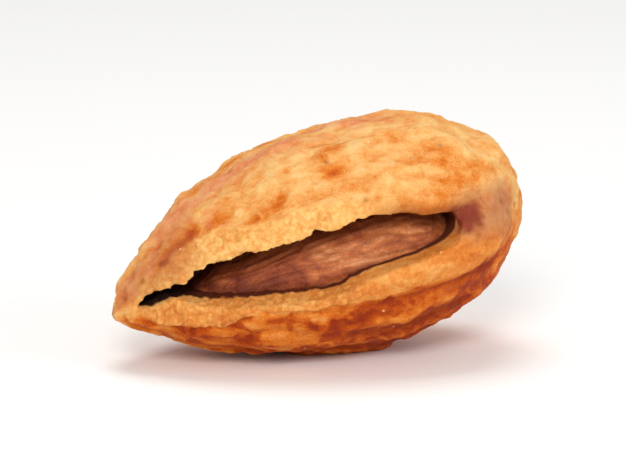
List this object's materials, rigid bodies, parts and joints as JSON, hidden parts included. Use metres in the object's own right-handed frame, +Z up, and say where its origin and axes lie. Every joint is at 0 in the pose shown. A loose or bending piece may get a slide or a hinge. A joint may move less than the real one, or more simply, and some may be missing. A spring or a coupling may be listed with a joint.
{
  "type": "almond in a split shell",
  "caption": "Teardrop almond in its soft brown shell, lying on its side, with a long split along the seam that shows the loose kernel inside.",
  "frame": {"origin": "On the table, under the middle of the shell's bounding box.", "axes": "+X towards the blunt stem end, with the pointed tip at -X; -Y towards the split seam; +Z up, away from the table that the shell rests on."},
  "size_m": [0.032, 0.02, 0.0176],
  "materials": {
    "shell": "matt, crumbly golden-tan shell with darker orange-brown patches",
    "kernel": "matt, wrinkled reddish-brown skin"
  },
  "bodies": {
    "root": {"shell": "shell", "kernel": "kernel"}
  },
  "joints": []
}
